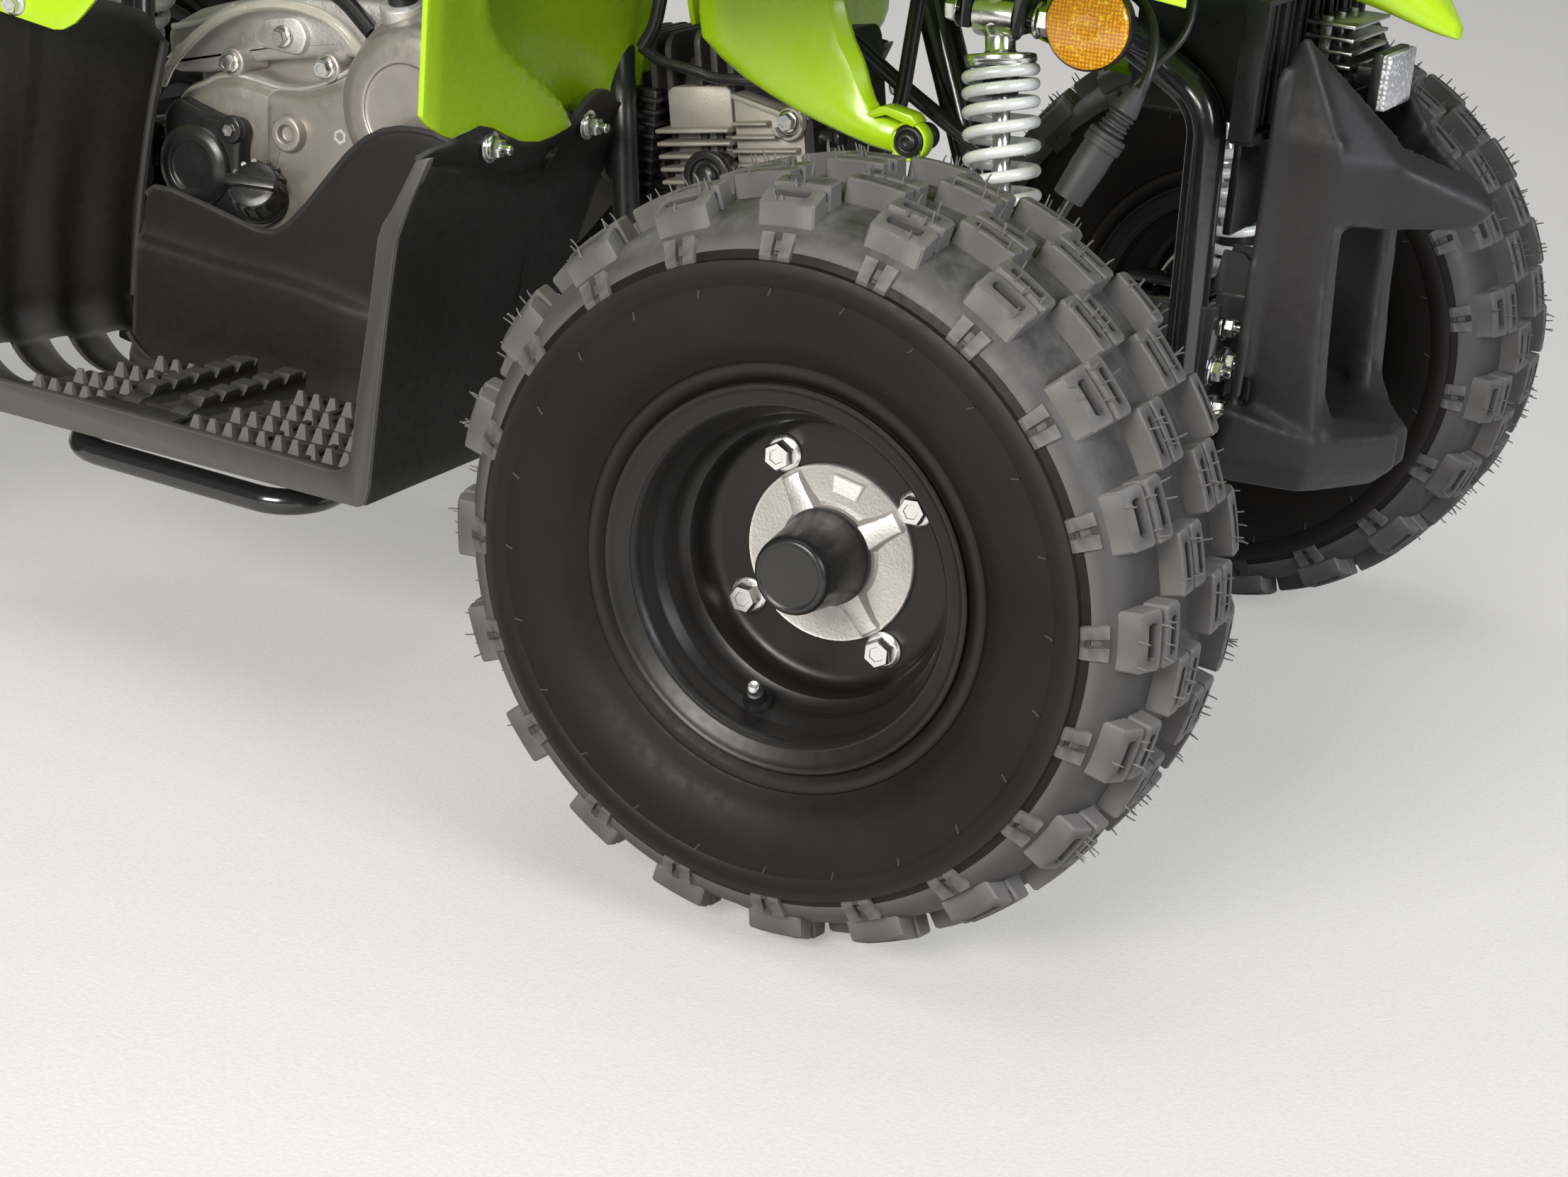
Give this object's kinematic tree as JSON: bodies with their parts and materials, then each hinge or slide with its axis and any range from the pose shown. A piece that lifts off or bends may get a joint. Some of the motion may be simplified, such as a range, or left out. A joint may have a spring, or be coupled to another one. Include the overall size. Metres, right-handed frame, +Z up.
{
  "type": "quad bike",
  "caption": "Youth quad bike with green fenders, footwells, air-cooled engine, steerable front wheels on knobbly tyres and a chain-driven rear axle.",
  "frame": {"origin": "on the ground below the middle of the vehicle", "axes": "+X forward, +Y to the rider's left, +Z up"},
  "size_m": [1.3525, 0.827, 0.8649],
  "materials": {
    "frame_steel": "satin black paint",
    "engine_alloy": "as cast",
    "black_plastic": "grained",
    "green_plastic": "gloss",
    "seat_cover": "grained vinyl",
    "rubber": "matt",
    "black_steel": "matt black paint",
    "alloy_parts": "as cast, clear coated",
    "spring_steel": "bright",
    "damper_steel": "satin",
    "tyre": "moulded",
    "wheel_black": "semi-gloss black",
    "lamp_lens": "clear",
    "amber_lens": "ribbed",
    "white_reflector": "prismatic",
    "red_lens": "gloss"
  },
  "bodies": {
    "chassis": {"frame": "frame_steel", "rear_frame": "frame_steel", "grab_bar": "frame_steel", "tow_bracket": "frame_steel", "foot_bars": "frame_steel", "engine_case": "engine_alloy", "engine_cover": "engine_alloy", "cylinder": "engine_alloy", "cylinder_head": "engine_alloy", "intake": "black_plastic", "exhaust": "black_steel", "seat": "seat_cover", "front_fender": "green_plastic", "rear_fender": "green_plastic", "side_panels": "green_plastic", "footwell_right": "black_plastic", "footwell_left": "black_plastic", "front_bumper": "black_plastic", "front_panel": "black_plastic", "headlamps": "lamp_lens", "front_reflector": "white_reflector", "side_reflectors": "amber_lens", "taillight": "red_lens", "front_arms": "frame_steel", "front_dampers": "damper_steel", "front_springs": "spring_steel", "swingarm": "frame_steel", "rear_damper": "damper_steel", "rear_spring": "spring_steel", "chain": "spring_steel", "brake_cables": "rubber"},
    "steering": {"steering_column": "frame_steel", "handlebar": "black_steel", "grips": "rubber", "levers": "alloy_parts"},
    "tie_rod_right": {"tie_rod_right": "frame_steel"},
    "tie_rod_left": {"tie_rod_left": "frame_steel"},
    "knuckle_right": {"knuckle_right": "frame_steel"},
    "knuckle_left": {"knuckle_left": "frame_steel"},
    "wheel_front_right": {"tyre_front_right": "tyre", "rim_front_right": "wheel_black", "hub_front_right": "alloy_parts", "cap_front_right": "wheel_black"},
    "wheel_front_left": {"tyre_front_left": "tyre", "rim_front_left": "wheel_black", "hub_front_left": "alloy_parts", "cap_front_left": "wheel_black"},
    "rear_axle": {"rear_axle": "frame_steel", "sprocket": "spring_steel", "brake_disc": "alloy_parts", "tyre_rear_right": "tyre", "tyre_rear_left": "tyre", "rim_rear_right": "wheel_black", "rim_rear_left": "wheel_black"}
  },
  "joints": [
    {"name": "steering", "type": "hinge", "parent": "chassis", "child": "steering", "pos_m": [0.424, 0, 0.174], "axis": [-0.3697, 0, 0.9291], "range_deg": [-34, 34]},
    {"name": "kingpin_right", "type": "hinge", "parent": "chassis", "child": "knuckle_right", "pos_m": [0.445, -0.262, 0.2], "axis": [0, 0, 1], "range_deg": [-30.6, 30.6]},
    {"name": "tie_rod_right", "type": "hinge", "parent": "steering", "child": "tie_rod_right", "pos_m": [0.35399, -0.014, 0.212], "axis": [-0.3697, 0, 0.9291], "range_deg": [-35.9, 35.9]},
    {"name": "wheel_front_right", "type": "hinge", "parent": "knuckle_right", "child": "wheel_front_right", "pos_m": [0.445, -0.331, 0.2], "axis": [0, 1, 0], "continuous": true},
    {"name": "kingpin_left", "type": "hinge", "parent": "chassis", "child": "knuckle_left", "pos_m": [0.445, 0.262, 0.2], "axis": [0, 0, 1], "range_deg": [-30.6, 30.6]},
    {"name": "tie_rod_left", "type": "hinge", "parent": "steering", "child": "tie_rod_left", "pos_m": [0.35399, 0.014, 0.212], "axis": [-0.3697, 0, 0.9291], "range_deg": [-35.9, 35.9]},
    {"name": "wheel_front_left", "type": "hinge", "parent": "knuckle_left", "child": "wheel_front_left", "pos_m": [0.445, 0.331, 0.2], "axis": [0, 1, 0], "continuous": true},
    {"name": "rear_axle", "type": "hinge", "parent": "chassis", "child": "rear_axle", "pos_m": [-0.455, 0, 0.2], "axis": [0, 1, 0], "continuous": true}
  ],
  "couplings": [
    {"joint": "kingpin_right", "follows": "steering", "ratio": 0.898},
    {"joint": "tie_rod_right", "follows": "steering", "ratio": -1.053},
    {"joint": "kingpin_left", "follows": "steering", "ratio": 0.898},
    {"joint": "tie_rod_left", "follows": "steering", "ratio": -1.053}
  ]
}
